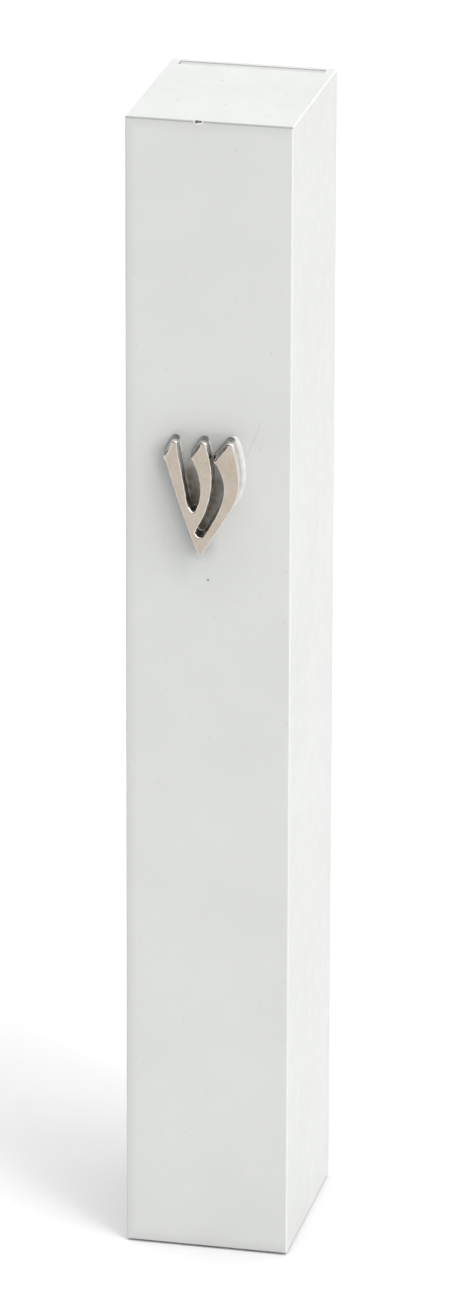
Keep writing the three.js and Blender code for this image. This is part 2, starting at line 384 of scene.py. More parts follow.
def calc(tree, operation, *values, clamp=False):
    """A sum with numbers, as one output."""
    node = add(tree, "Math", dict(enumerate(values)), operation=operation, use_clamp=clamp)
    return node.outputs[0]


def vector(tree, operation, *values):
    """A sum with vectors. Distances and dot products give a number, and the rest give a vector."""
    node = add(tree, "VectorMath", dict(enumerate(values)), operation=operation)
    return node.outputs["Value" if operation in ("DISTANCE", "DOT_PRODUCT") else "Vector"]


def ramp(tree, value, low, high, to_low=0.0, to_high=1.0):
    """A number that eases from to_low to to_high while the value goes from low to high."""
    inputs = {"Value": value, "From Min": low, "From Max": high, "To Min": to_low, "To Max": to_high}
    return add(tree, "MapRange", inputs, interpolation_type="SMOOTHSTEP").outputs["Result"]


# The Mix node has its own inputs for each kind of data, so the next two give them by number.


def blend_numbers(tree, factor, first, second):
    """The first number where the factor is 0, and the second where it is 1."""
    node = add(tree, "Mix", {0: factor, 2: first, 3: second}, data_type="FLOAT")
    return node.outputs[0]


def blend_colours(tree, factor, first, second):
    """The first colour where the factor is 0, and the second where it is 1."""
    node = add(tree, "Mix", {0: factor, 6: first, 7: second}, data_type="RGBA")
    return node.outputs[2]


def split(tree, value):
    """A vector's three numbers, as outputs X, Y and Z."""
    return add(tree, "SeparateXYZ", {"Vector": value}).outputs


def surface_normal(tree):
    """The way that the surface faces, in the piece's own directions."""
    return add(tree, "TexCoord").outputs["Normal"]


def rgba(values):
    """A colour's three values, with full opacity."""
    return (*values, 1.0)


def toned(values, *factors):
    """A colour times one factor, or times one for each of its values."""
    factors = factors if len(factors) == 3 else factors * 3
    return rgba([min(1.0, value * factor) for value, factor in zip(values, factors)])


def marked(tree, tint, mask, strength, values):
    """A colour laid over the tint where the mask is, at a strength from 0 to 1."""
    return blend_colours(tree, calc(tree, "MULTIPLY", mask, strength), tint, rgba(values))


def new_group(name, inputs, outputs):
    """An empty node group with named sockets: the group, its input sockets and its output sockets."""
    tree = bpy.data.node_groups.new(name, "ShaderNodeTree")
    for label, kind, default in inputs:
        socket = tree.interface.new_socket(name=label, in_out="INPUT", socket_type="NodeSocket" + kind)
        socket.default_value = default
    for label, kind in outputs:
        tree.interface.new_socket(name=label, in_out="OUTPUT", socket_type="NodeSocket" + kind)
    source = tree.nodes.new("NodeGroupInput").outputs
    result = tree.nodes.new("NodeGroupOutput").inputs
    return tree, source, result


def place(tree, group, **inputs):
    """A shared node group in a tree, built the first time that one is needed: its outputs."""
    node = tree.nodes.new("ShaderNodeGroup")
    node.node_tree = bpy.data.node_groups.get(group) or EFFECTS[group]()
    set_inputs(tree, node, inputs)
    return node.outputs


def mottle(tree, where, size, low=0.0, high=1.0):
    """Soft cloudy variation from low to high."""
    return place(tree, "Mottle", Place=where, Size=size, Low=low, High=high)["Value"]


def streaks(tree, where, stretch, scale):
    """Fine lines, along the axes that the stretch makes small."""
    return place(tree, "Streaks", Place=where, Stretch=stretch, Scale=scale)["Value"]


def dots(tree, where, spacing, radius, share):
    """Specks of dust, whichever way the surface faces."""
    normal = surface_normal(tree)
    specks = place(tree, "Specks", Place=where, Normal=normal, Spacing=spacing, Radius=radius, Share=share)
    return specks["Mask"]


def feed(tree, shader, **inputs):
    """Links or sets the shader's inputs, given as words with underscores."""
    set_inputs(tree, shader, {key.replace("_", " "): value for key, value in inputs.items()})


def new_material(name, **sockets):
    """A material and its tree, its Principled shader, and the place on the piece in millimetres."""
    material = bpy.data.materials.new(name)
    material.use_nodes = True
    tree = material.node_tree
    shader = tree.nodes["Principled BSDF"]
    feed(tree, shader, **sockets)
    where = vector(tree, "SCALE", add(tree, "TexCoord").outputs["Object"])
    where.node.inputs["Scale"].default_value = 1 / MM
    return material, tree, shader, where


def bump(tree, shader, height, depth):
    """Raises the surface by height times depth, in metres."""
    node = add(tree, "Bump", {"Height": height, "Distance": depth, "Strength": 1.0})
    tree.links.new(node.outputs["Normal"], shader.inputs["Normal"])


# ------------------------------------------------------------------------------------ shared node groups


def group_mottle():
    """Soft cloudy variation between two values."""
    inputs = (
        ("Place", "Vector", (0.0, 0.0, 0.0)),
        ("Size", "Float", 5.0),
        ("Low", "Float", 0.0),
        ("High", "Float", 1.0),
    )
    tree, source, result = new_group("Mottle", inputs, [("Value", "Float")])
    scale = calc(tree, "DIVIDE", 1.0, source["Size"])
    noise_inputs = {"Vector": source["Place"], "Scale": scale, "Detail": 4.0, "Roughness": 0.55}
    cloud = add(tree, "TexNoise", noise_inputs)
    value = ramp(tree, cloud.outputs["Fac"], 0.3, 0.7, source["Low"], source["High"])
    tree.links.new(value, result["Value"])
    return tree


def group_specks():
    """Sparse small dots of dust, flat on the face: a share of the cells of a loose grid hold one."""
    inputs = (
        ("Place", "Vector", (0.0, 0.0, 0.0)),
        ("Normal", "Vector", (0.0, 0.0, 1.0)),
        ("Spacing", "Float", 3.0),
        ("Radius", "Float", 0.1),
        ("Share", "Float", 0.5),
    )
    tree, source, result = new_group("Specks", inputs, [("Mask", "Float")])

    # The place as two numbers in the plane of the face. The shift keeps the sides' dots unlike the front's.
    facing = split(tree, vector(tree, "ABSOLUTE", source["Normal"]))
    spot = split(tree, source["Place"])
    sideways = calc(tree, "GREATER_THAN", facing["X"], 0.7)
    upwards = calc(tree, "GREATER_THAN", facing["Z"], 0.7)
    across = blend_numbers(tree, sideways, spot["X"], spot["Y"])
    along = blend_numbers(tree, upwards, spot["Z"], spot["Y"])
    shifted = calc(tree, "MULTIPLY_ADD", sideways, 37.0, across)
    flat = add(tree, "CombineXYZ", {"X": shifted, "Y": along}).outputs[0]

    scale = calc(tree, "DIVIDE", 1.0, source["Spacing"])
    cells = add(tree, "TexVoronoi", {"Vector": flat, "Scale": scale}, voronoi_dimensions="2D")
    distance = calc(tree, "MULTIPLY", cells.outputs["Distance"], source["Spacing"])
    pick = add(tree, "SeparateColor", {"Color": cells.outputs["Color"]})
    radius = calc(tree, "MULTIPLY", source["Radius"], ramp(tree, pick.outputs["Green"], 0.0, 1.0, 0.4, 1.0))
    dot = calc(tree, "SUBTRACT", 1.0, ramp(tree, calc(tree, "DIVIDE", distance, radius), 0.6, 1.0))
    held = calc(tree, "LESS_THAN", pick.outputs["Red"], source["Share"])
    tree.links.new(calc(tree, "MULTIPLY", dot, held), result["Mask"])
    return tree


def group_box_edges():
    """Nearness to a box's edges, taken from how far off a surface point's second nearest face is."""
    inputs = (
        ("Place", "Vector", (0.0, 0.0, 0.0)),
        ("Low", "Vector", (0.0, 0.0, 0.0)),
        ("High", "Vector", (1.0, 1.0, 1.0)),
        ("Width", "Float", 0.3),
        ("Core", "Float", 0.5),
        ("Raggedness", "Float", 0.1),
    )
    tree, source, result = new_group("Box edges", inputs, [("Mask", "Float")])
    below = vector(tree, "ABSOLUTE", vector(tree, "SUBTRACT", source["Place"], source["Low"]))
    above = vector(tree, "ABSOLUTE", vector(tree, "SUBTRACT", source["High"], source["Place"]))
    near = split(tree, vector(tree, "MINIMUM", below, above))
    smaller = calc(tree, "MINIMUM", near["X"], near["Y"])
    larger = calc(tree, "MAXIMUM", near["X"], near["Y"])
    second = calc(tree, "MAXIMUM", smaller, calc(tree, "MINIMUM", larger, near["Z"]))
    noise_inputs = {"Vector": source["Place"], "Scale": 1.6, "Detail": 6.0, "Roughness": 0.7}
    ragged = add(tree, "TexNoise", noise_inputs)
    shift = calc(tree, "MULTIPLY", calc(tree, "SUBTRACT", ragged.outputs["Fac"], 0.5), source["Raggedness"])
    distance = calc(tree, "ADD", second, shift)
    core = calc(tree, "MULTIPLY", source["Width"], source["Core"])
    mask = calc(tree, "SUBTRACT", 1.0, ramp(tree, distance, core, source["Width"]))
    tree.links.new(mask, result["Mask"])
    return tree


def group_round_mark():
    """A ragged round mark about one point."""
    inputs = (
        ("Place", "Vector", (0.0, 0.0, 0.0)),
        ("Centre", "Vector", (0.0, 0.0, 0.0)),
        ("Radius", "Float", 0.2),
        ("Raggedness", "Float", 0.1),
    )
    tree, source, result = new_group("Round mark", inputs, [("Mask", "Float")])
    ragged = add(tree, "TexNoise", {"Vector": source["Place"], "Scale": 4.0, "Detail": 4.0})
    shift = calc(tree, "MULTIPLY", calc(tree, "SUBTRACT", ragged.outputs["Fac"], 0.5), source["Raggedness"])
    distance = calc(tree, "ADD", vector(tree, "DISTANCE", source["Place"], source["Centre"]), shift)
    core = calc(tree, "MULTIPLY", source["Radius"], 0.7)
    inside = calc(tree, "SUBTRACT", 1.0, ramp(tree, distance, core, source["Radius"]))
    tree.links.new(inside, result["Mask"])
    return tree


def group_hairline():
    """A thin straight scratch from one point to another."""
    inputs = (
        ("Place", "Vector", (0.0, 0.0, 0.0)),
        ("From", "Vector", (0.0, 0.0, 0.0)),
        ("To", "Vector", (0.0, 0.0, 1.0)),
        ("Width", "Float", 0.05),
    )
    tree, source, result = new_group("Hairline", inputs, [("Mask", "Float")])
    offset = vector(tree, "SUBTRACT", source["Place"], source["From"])
    line = vector(tree, "SUBTRACT", source["To"], source["From"])
    reach = vector(tree, "DOT_PRODUCT", offset, line)
    share = calc(tree, "DIVIDE", reach, vector(tree, "DOT_PRODUCT", line, line), clamp=True)
    foot = vector(tree, "SCALE", line)
    tree.links.new(share, foot.node.inputs["Scale"])
    distance = vector(tree, "DISTANCE", offset, foot)
    mask = calc(tree, "SUBTRACT", 1.0, ramp(tree, distance, 0.0, source["Width"]))
    tree.links.new(mask, result["Mask"])
    return tree


def group_streaks():
    """Fine lines along one direction: Stretch squeezes the place along each axis first."""
    inputs = (
        ("Place", "Vector", (0.0, 0.0, 0.0)),
        ("Stretch", "Vector", (1.0, 1.0, 0.05)),
        ("Scale", "Float", 8.0),
    )
    tree, source, result = new_group("Streaks", inputs, [("Value", "Float")])
    squeezed = vector(tree, "MULTIPLY", source["Place"], source["Stretch"])
    noise_inputs = {"Vector": squeezed, "Scale": source["Scale"], "Detail": 5.0, "Roughness": 0.65}
    lines = add(tree, "TexNoise", noise_inputs)
    tree.links.new(lines.outputs["Fac"], result["Value"])
    return tree


EFFECTS = {
    "Mottle": group_mottle,
    "Specks": group_specks,
    "Box edges": group_box_edges,
    "Round mark": group_round_mark,
    "Hairline": group_hairline,
    "Streaks": group_streaks,
}


# ---------------------------------------------------------------------------------------------- materials


def in_mm(point):
    """A point of the frame in millimetres, as the materials take it."""
    return tuple(value / MM for value in point)


def edge_tones(tree, where, facing, settings, tint):
    """The coat along the cover's edges: painted shade on the left and at both ends, and a painted highlight
    on the right and top edges.

    A thin ragged grey line runs along the upper front edge.
    """
    low, high = in_mm(COVER_LOW), in_mm(COVER_HIGH)
    # Boxes that share only some of the cover's edges, so that a mark keeps to those.
    far = 500.0
    left_and_ends = {"Place": where, "Low": low, "High": (far, far, high[2])}
    right_and_top = {"Place": where, "Low": (-far, low[1], -far), "High": (high[0], far, high[2])}
    front_top = {"Place": where, "Low": (-far, low[1], -far), "High": (far, far, high[2])}

    # Painted shade: the front darkens towards its left edge and both ends.
    painted_edge_shade = place(tree, "Box edges", Width=1.7, Core=0.0, Raggedness=0.0, **left_and_ends)["Mask"]
    painted_edge_shade = calc(tree, "MULTIPLY", painted_edge_shade, ramp(tree, facing["Y"], -0.9, -0.5, 1.0, 0.0))
    tint = marked(tree, tint, painted_edge_shade, settings.edge_shade, (0.28, 0.29, 0.29))
    # Painted highlight: the right and top edges are lighter than the coat.
    bright = place(tree, "Box edges", Width=0.2, Raggedness=0.12, **right_and_top)["Mask"]
    tint = marked(tree, tint, bright, 0.5, (0.8, 0.805, 0.8))
    thin = place(tree, "Box edges", Width=0.28, Raggedness=0.2, **front_top)["Mask"]
    return marked(tree, tint, thin, 0.85, (0.3, 0.305, 0.3))


def line_on_front(tree, where, ends, width):
    """Mask of a straight mark on the cover's front."""
    front = in_mm(COVER_LOW)[1]
    start, end = ((x, front, z) for x, z in ends)
    return place(tree, "Hairline", Place=where, From=start, To=end, Width=width)["Mask"]


def painted_front_shade(tree, where, tint):
    """Painted shade on the cover's front: a painted shadow beside the letter's left arm, and painted shade,
    tinted brown, in its slots.
    """
    # Painted shadow beside the left arm.
    painted_shadow = line_on_front(tree, where, PAINTED_SHADOW_BESIDE_ARM, 2.6)
    tint = marked(tree, tint, painted_shadow, 0.4, (0.16, 0.16, 0.15))
    # Painted shade, tinted brown, on the floor of each slot.
    for ends in PAINTED_SHADE_IN_SLOTS:
        slot_shade = line_on_front(tree, where, ends, 1.9)
        tint = marked(tree, tint, slot_shade, mottle(tree, where, 0.8, low=0.6), (0.2, 0.163, 0.105))
    return tint


def chip_masks(tree, where, settings):
    """Masks of the chip in the upper front edge, and of the raised paint round it."""
    low, high = in_mm(COVER_LOW), in_mm(COVER_HIGH)
    middle, size = low[0] + settings.chip_place / MM, settings.chip_size / MM
    holes, rims = [], []
    for shift, share in CHIP_LUMPS:
        spot = {"Place": where, "Centre": (middle + size * shift, low[1], high[2])}
        hole = place(tree, "Round mark", Radius=size * share * 1.2, Raggedness=0.25, **spot)
        rim = place(tree, "Round mark", Radius=size * share * 1.65, Raggedness=0.5, **spot)
        holes.append(hole["Mask"])
        rims.append(rim["Mask"])
    return calc(tree, "MAXIMUM", *holes), calc(tree, "MAXIMUM", *rims)


def cover_paint(settings):
    """Satin white coat with dust in it, small marks on its front, and the chip, with painted shade and
    highlights along its edges, painted shade round the letter, and a painted highlight on the raised paint
    round the chip.
    """
    material, tree, shader, where = new_material("cover_paint", IOR=1.5)
    facing = split(tree, surface_normal(tree))
    coat, shaded = rgba(settings.paint), toned(settings.paint, 0.965)
    tint = blend_colours(tree, mottle(tree, where, 14.0), coat, shaded)
    tint = edge_tones(tree, where, facing, settings, tint)

    # Dust settles on the top more than on the sides.
    dust = dots(tree, where, 3.2, 0.15, settings.speck_share)
    fine = dots(tree, where, 1.3, 0.08, settings.speck_share)
    upward = ramp(tree, facing["Z"], 0.5, 0.9, 0.16, 0.75)
    tint = marked(tree, tint, dust, upward, (0.2, 0.21, 0.2))
    tint = marked(tree, tint, fine, 0.12, (0.3, 0.3, 0.29))

    for x, z, radius, strength in FRONT_SPOTS:
        centre = (x, in_mm(COVER_LOW)[1], z)
        spot = place(tree, "Round mark", Place=where, Centre=centre, Radius=radius, Raggedness=0.12)
        tint = marked(tree, tint, spot["Mask"], strength, (0.2, 0.2, 0.2))
    scratch = line_on_front(tree, where, SCRATCH, 0.09)
    tint = marked(tree, tint, scratch, 0.35, (0.36, 0.36, 0.35))
    tint = painted_front_shade(tree, where, tint)
    chip, burr_and_highlight = chip_masks(tree, where, settings)
    # The raised paint round the chip is lighter than the coat: a painted highlight on a real burr, which the
    # bump raises as well.
    tint = blend_colours(tree, burr_and_highlight, tint, rgba((0.85, 0.85, 0.84)))
    tint = blend_colours(tree, chip, tint, rgba(settings.bare))

    rough = mottle(tree, where, 2.2, low=settings.gloss - 0.05, high=settings.gloss + 0.07)
    rough = calc(tree, "ADD", rough, calc(tree, "MULTIPLY", dust, 0.2))
    feed(tree, shader, Base_Color=tint, Roughness=rough)

    peel = add(tree, "TexNoise", {"Vector": where, "Scale": 1.9, "Detail": 2.0, "Roughness": 0.4})
    height = calc(tree, "MULTIPLY_ADD", peel.outputs["Fac"], 0.35, calc(tree, "MULTIPLY", dust, 1.2))
    height = calc(tree, "MULTIPLY_ADD", burr_and_highlight, 1.5, height)
    height = calc(tree, "MULTIPLY_ADD", scratch, -0.6, height)
    bump(tree, shader, height, 0.01 * MM)
    return material


def letter_nickel(settings):
    """Nickel plating: a satin flat face with faint stains, bright rims, and painted shade on the walls
    towards the back and on the arms' cut ends.
    """
    material, tree, shader, where = new_material("letter_nickel", Metallic=1.0)
    rim = add(tree, "Attribute", attribute_name="rim").outputs["Fac"]
    depth = add(tree, "Attribute", attribute_name="depth").outputs["Fac"]
    plated, stained = rgba(settings.nickel), toned(settings.nickel, 0.93, 0.90, 0.86)
    tint = blend_colours(tree, mottle(tree, where, 1.7), plated, stained)
    stain = dots(tree, where, 1.6, 0.22, 0.35)
    tint = marked(tree, tint, stain, 0.25, (0.36, 0.27, 0.19))
    tint = marked(tree, tint, rim, 0.8, (0.93, 0.92, 0.9))
    patchy = mottle(tree, where, 0.7, low=0.5)
    # Painted shade, in patches: darker down the walls towards the back and on the arms' cut ends.
    tint = marked(tree, tint, ramp(tree, depth, 0.0, 0.4), patchy, (0.15, 0.13, 0.11))

    grain = streaks(tree, where, (1.0, 1.0, 0.12), scale=7.0)
    face = ramp(tree, grain, 0.3, 0.7, settings.face_roughness - 0.05, settings.face_roughness + 0.06)
    side = ramp(tree, grain, 0.3, 0.7, settings.side_roughness - 0.03, settings.side_roughness + 0.08)
    on_side = ramp(tree, calc(tree, "MAXIMUM", rim, depth), 0.0, 0.3)
    feed(tree, shader, Base_Color=tint, Roughness=blend_numbers(tree, on_side, face, side))

    pits = dots(tree, where, 0.55, 0.07, 0.5)
    height = calc(tree, "MULTIPLY_ADD", grain, 0.25, calc(tree, "MULTIPLY", pits, -0.8))
    bump(tree, shader, height, 0.008 * MM)
    return material


def clear_glue():
    """Glue that has set clear, with a few fine bubbles."""
    material, tree, shader, where = new_material("clear_glue", IOR=1.48)
    tone = mottle(tree, where, 1.0)
    tint = blend_colours(tree, tone, rgba((0.9, 0.91, 0.89)), rgba((0.8, 0.81, 0.79)))
    bubbles = dots(tree, where, 0.5, 0.05, 0.4)
    alpha = calc(tree, "MULTIPLY_ADD", bubbles, 0.15, ramp(tree, tone, 0.0, 1.0, 0.65, 0.8))
    rough = mottle(tree, where, 0.7, low=0.06, high=0.14)
    feed(tree, shader, Base_Color=tint, Alpha=alpha, Roughness=rough)
    wavy = add(tree, "TexNoise", {"Vector": where, "Scale": 2.5, "Detail": 2.0})
    bump(tree, shader, wavy.outputs["Fac"], 0.015 * MM)
    return material


def plate_paint(settings):
    """Matt white coat on the back plate, rubbed along its length and worn along its edges."""
    material, tree, shader, where = new_material("plate_paint")
    low, high = in_mm(PLATE_LOW), in_mm(PLATE_HIGH)
    coat, shaded = rgba(settings.paint), toned(settings.paint, 0.9)
    tint = blend_colours(tree, mottle(tree, where, 9.0), coat, shaded)
    # The faces that point up, such as the plate's top end, are made darker grey.
    upward = split(tree, surface_normal(tree))["Z"]
    tint = blend_colours(tree, ramp(tree, upward, 0.5, 0.9, 0.0, 0.35), tint, rgba((0.42, 0.43, 0.42)))
    rub = streaks(tree, where, (1.0, 1.0, 0.03), scale=2.2)
    tint = blend_colours(tree, ramp(tree, rub, 0.6, 0.68, 0.0, 0.35), tint, rgba((0.62, 0.62, 0.61)))
    worn = place(tree, "Box edges", Place=where, Low=low, High=high, Width=0.3, Raggedness=0.5)["Mask"]
    tint = marked(tree, tint, worn, 0.45, (0.52, 0.52, 0.51))
    dust = dots(tree, where, 2.4, 0.12, 0.5)
    tint = marked(tree, tint, dust, 0.35, (0.36, 0.36, 0.35))
    rough = mottle(tree, where, 2.0, low=0.42, high=0.56)
    rough = calc(tree, "SUBTRACT", rough, calc(tree, "MULTIPLY", worn, 0.15))
    feed(tree, shader, Base_Color=tint, Roughness=rough)
    peel = add(tree, "TexNoise", {"Vector": where, "Scale": 2.6, "Detail": 3.0})
    bump(tree, shader, calc(tree, "ADD", dust, peel.outputs["Fac"]), 0.012 * MM)
    return material


def moulded_plastic(settings):
    """Off-white moulded plastic with a fine spark-eroded texture."""
    material, tree, shader, where = new_material("moulded_plastic", IOR=1.46)
    clean, worn = rgba(settings.plastic), toned(settings.plastic, 0.95)
    tint = blend_colours(tree, mottle(tree, where, 3.0), clean, worn)
    dust = dots(tree, where, 1.8, 0.09, 0.5)
    tint = marked(tree, tint, dust, 0.4, (0.33, 0.32, 0.3))
    feed(tree, shader, Base_Color=tint, Roughness=mottle(tree, where, 1.2, low=0.5, high=0.64))
    grain = add(tree, "TexNoise", {"Vector": where, "Scale": 11.0, "Detail": 3.0, "Roughness": 0.6})
    bump(tree, shader, grain.outputs["Fac"], 0.02 * MM)
    return material


def screw_steel(settings):
    """Plain stainless steel, turned, and a little grimy."""
    material, tree, shader, where = new_material("screw_steel", Metallic=1.0)
    bright, grimy = rgba(settings.steel), toned(settings.steel, 0.78)
    tint = blend_colours(tree, mottle(tree, where, 0.6), bright, grimy)
    grain = streaks(tree, where, (1.0, 0.2, 1.0), scale=9.0)
    feed(tree, shader, Base_Color=tint, Roughness=ramp(tree, grain, 0.3, 0.7, 0.24, 0.4))
    bump(tree, shader, grain, 0.006 * MM)
    return material


def tape_foam(settings):
    """White closed-cell foam with open pores on its cut sides."""
    material, tree, shader, where = new_material("tape_foam")
    cells = add(tree, "TexVoronoi", {"Vector": where, "Scale": 4.5}, feature="DISTANCE_TO_EDGE")
    pore = ramp(tree, cells.outputs["Distance"], 0.0, 0.25)
    # The pores are darker than the foam round them: painted shade in the pores.
    tint = blend_colours(tree, pore, rgba(settings.foam), toned(settings.foam, 0.72))
    feed(tree, shader, Base_Color=tint, Roughness=ramp(tree, pore, 0.0, 1.0, 0.75, 0.92))
    bump(tree, shader, calc(tree, "SUBTRACT", 1.0, pore), 0.05 * MM)
    return material


def liner_paper(settings):
    """Waxed brown paper with fine fibres."""
    material, tree, shader, where = new_material("liner_paper")
    fibres = streaks(tree, where, (1.0, 1.0, 0.25), scale=3.0)
    pale, dark = rgba(settings.liner), toned(settings.liner, 0.82)
    tint = blend_colours(tree, ramp(tree, fibres, 0.35, 0.65), pale, dark)
    spots = dots(tree, where, 0.9, 0.1, 0.5)
    tint = marked(tree, tint, spots, 0.3, (0.35, 0.27, 0.15))
    feed(tree, shader, Base_Color=tint, Roughness=ramp(tree, fibres, 0.3, 0.7, 0.3, 0.46))
    bump(tree, shader, fibres, 0.015 * MM)
    return material


def parchment(settings):
    """Pale scraped hide: cloudy, with hair pores and fine fibres, and no writing."""
    material, tree, shader, where = new_material(
        "parchment", Subsurface_Weight=0.12, Subsurface_Radius=(0.002, 0.0014, 0.0008), Subsurface_Scale=0.3
    )
    browner = toned(settings.skin, 0.9, 0.84, 0.74)
    paler = toned(settings.skin, 1.09, 1.12, 1.2)
    tint = blend_colours(tree, mottle(tree, where, 9.0), rgba(settings.skin), browner)
    tint = blend_colours(tree, mottle(tree, where, 2.6, high=0.4), tint, paler)
    pores = dots(tree, where, 0.8, 0.09, 0.6)
    tint = marked(tree, tint, pores, 0.35, (0.4, 0.28, 0.15))
    fibres = streaks(tree, where, (1.0, 1.0, 0.5), scale=4.0)
    feed(tree, shader, Base_Color=tint, Roughness=ramp(tree, fibres, 0.3, 0.7, 0.55, 0.72))
    bump(tree, shader, calc(tree, "MULTIPLY_ADD", pores, -0.6, fibres), 0.02 * MM)
    return material


def clear_film(settings):
    """Thin clear film, glossy and faintly creased."""
    material, tree, shader, where = new_material("clear_film", IOR=1.45)
    tone = mottle(tree, where, 6.0)
    tint = blend_colours(tree, tone, rgba(settings.film), toned(settings.film, 0.95))
    creases = streaks(tree, where, (1.0, 1.0, 0.08), scale=0.9)
    alpha = ramp(tree, creases, 0.45, 0.7, 0.11, 0.16)
    feed(tree, shader, Base_Color=tint, Alpha=alpha, Roughness=ramp(tree, tone, 0.0, 1.0, 0.05, 0.12))
    bump(tree, shader, creases, 0.12 * MM)
    return material


def floor_white(settings):
    """Plain pale floor."""
    material, tree, shader, where = new_material("floor_white", Specular_IOR_Level=0.1)
    tone = mottle(tree, where, 60.0)
    tint = blend_colours(tree, tone, rgba(settings.floor), toned(settings.floor, 0.995))
    feed(tree, shader, Base_Color=tint, Roughness=mottle(tree, where, 8.0, low=0.8, high=0.9))
    return material


# -------------------------------------------------------------------------------------------------- cover


def cover_blank(settings):
    """The cover's outside: round upright edges, and a smaller rounding round both ends."""
    low, high = COVER_LOW, COVER_HIGH
    half_x, half_y = (high.x - low.x) / 2, (high.y - low.y) / 2
    centre_y = (high.y + low.y) / 2
    steps = 5

    def ring(inset, z):
        """One ring of points, at a height and so far in from the walls."""
        outline = rounded_rectangle(centre_y, half_x - inset, half_y - inset, settings.edge_radius - inset)
        return [(x, y, z) for x, y in outline]

    lower = []
    for i in range(steps + 1):
        turn = math.radians(90 * i / steps)
        inset = settings.end_radius * (1 - math.sin(turn))
        lower.append((inset, low.z + settings.end_radius * (1 - math.cos(turn))))
    upper = [(inset, high.z - (z - low.z)) for inset, z in reversed(lower)]
    return capped_rings("case_cover_shell", [ring(inset, z) for inset, z in lower + upper])


def mirrored(half):
    """A plan outline from its right half, which is in order from one end to the other."""
    return half + [(-x, y) for x, y in reversed(half)]


def cover_cutters(settings):
    """What is cut out of the cover: its room, and the groove and rear opening that the plate slides in."""
    inner_x = PLATE_HIGH.x + SIDE_PLAY
    rib_x = inner_x - settings.rib_width
    lip_x = inner_x - settings.lip_width
    front = FOOT_LOW.y - FOOT_PLAY
    groove_front, groove_rear = PLATE_LOW.y - FRONT_PLAY, PLATE_HIGH.y + REAR_PLAY
    rib_front = groove_front - settings.rib_thickness
    beyond = COVER_HIGH.y + MM
    # The room reaches a little into the groove, so that no skin is left between them.
    overlap = 0.01 * MM
    beside_room = [(inner_x, front), (inner_x, rib_front)]
    room = mirrored([*beside_room, (rib_x, rib_front), (rib_x, groove_front + overlap)])
    beside_plate = [(inner_x, groove_front), (inner_x, groove_rear)]
    groove = mirrored(beside_plate)
    window = mirrored([*beside_plate, (lip_x, groove_rear), (lip_x, beyond)])
    below, above = COVER_LOW.z - MM, COVER_HIGH.z + MM
    ceiling = STOP_HIGH.z + REST_GAP
    bridge = COVER_HIGH.z - settings.bridge_height
    return [
        prism("room", room, below, ceiling),
        prism("groove", groove, below, above),
        prism("window", window, below, bridge),
    ]


def chip_cutters(settings):
    """Two ragged pebbles that take the chip out of the upper front edge."""
    size = settings.chip_size
    pebbles = []
    for shift, share in CHIP_LUMPS:
        bm = bmesh.new()
        bmesh.ops.create_icosphere(bm, subdivisions=3, radius=1.0)
        x = COVER_LOW.x + settings.chip_place + size * shift
        centre = Vector((x, COVER_LOW.y - 0.06 * MM, COVER_HIGH.z - 0.02 * MM))
        for vert in bm.verts:
            rough = 1 + 0.3 * noise.noise(vert.co * 2.3 + Vector((7.0, shift, 3.0)))
            reach = Vector((vert.co.x * 0.85, vert.co.y * 0.75, vert.co.z * 0.7)) * size * share
            vert.co = centre + reach * rough
        pebbles.append(object_from(bm, "chip"))
    return pebbles


class MakeCover(bpy.types.Operator):
    """Makes the painted cover, with its room, its grooves and the chip in its upper front edge"""

    bl_idname = "mezuzah.make_cover"
    bl_label = "Cover"

    def execute(self, context):
        settings = context.scene.mezuzah_cover
        cover = cover_blank(settings)
        carve(cover, cover_cutters(settings))
        soften(cover, settings.inner_bevel, limit_degrees=60)
        carve(cover, chip_cutters(settings))
        shade(cover, limit_degrees=40)
        hand_over(cover, "cover", ["case_cover"], cover_paint(settings))
        return {"FINISHED"}


# ------------------------------------------------------------------------------------- letter and its glue


def bezier(start, controls, end, count):
    """Points along a Bezier curve of degree two or three, without its start."""
    points = [np.array(p, float) for p in (start, *controls, end)]
    degree = len(points) - 1
    result = []
    for i in range(1, count + 1):
        t = i / count
        weights = [math.comb(degree, k) * t**k * (1 - t) ** (degree - k) for k in range(degree + 1)]
        result.append(tuple(sum(w * p for w, p in zip(weights, points))))
    return result


# The letter's outline, in millimetres: x from its middle line and y up from its lower point. Each stretch
# is the control points between the last point and the next, and the next point.
LETTER_START = (-3.66, 14.7)
LETTER_STRETCHES = (
    ((), (-4.85, 12.4)),
    (((-3.11, 6.35),), (-0.85, 0.5)),  # outer side of the left arm
    (((-0.4, -0.35),), (0.05, 0.5)),  # lower point
    ((), (3.35, 6.0)),
    (((4.65, 8.1), (5.0, 10.6)), (3.6, 14.72)),  # outer side of the right arm
    ((), (3.35, 14.78)),
    ((), (1.42, 12.35)),
    (((3.3, 9.3), (2.9, 7.2)), (0.0, 2.6)),  # inner side of the right arm
    (((-0.6, 2.05),), (-1.2, 3.05)),  # bottom of the right slot
    (((1.3, 6.6), (1.6, 10.9)), (0.2, 14.62)),  # right side of the middle arm
    ((), (-0.02, 14.72)),
    ((), (-1.47, 12.5)),
    (((-0.35, 10.2), (-0.05, 8.3)), (-0.95, 6.0)),  # left side of the middle arm
    (((-1.4, 5.2),), (-1.95, 6.2)),  # bottom of the left slot
    ((), (-3.45, 14.6)),
    ((), LETTER_START),
)

# Places that the casting rounds more: x, y and reach in millimetres, and how much as a share.
ROUNDED_SPOTS = (
    (-1.1, 3.1, 0.45, 0.45),  # bottom of the right slot
    (-1.85, 5.9, 0.45, 0.45),  # bottom of the left slot
    (-3.4, 14.5, 0.45, 0.45),  # tips of the three arms
    (0.15, 14.5, 0.45, 0.45),
    (3.5, 14.6, 0.45, 0.45),
)


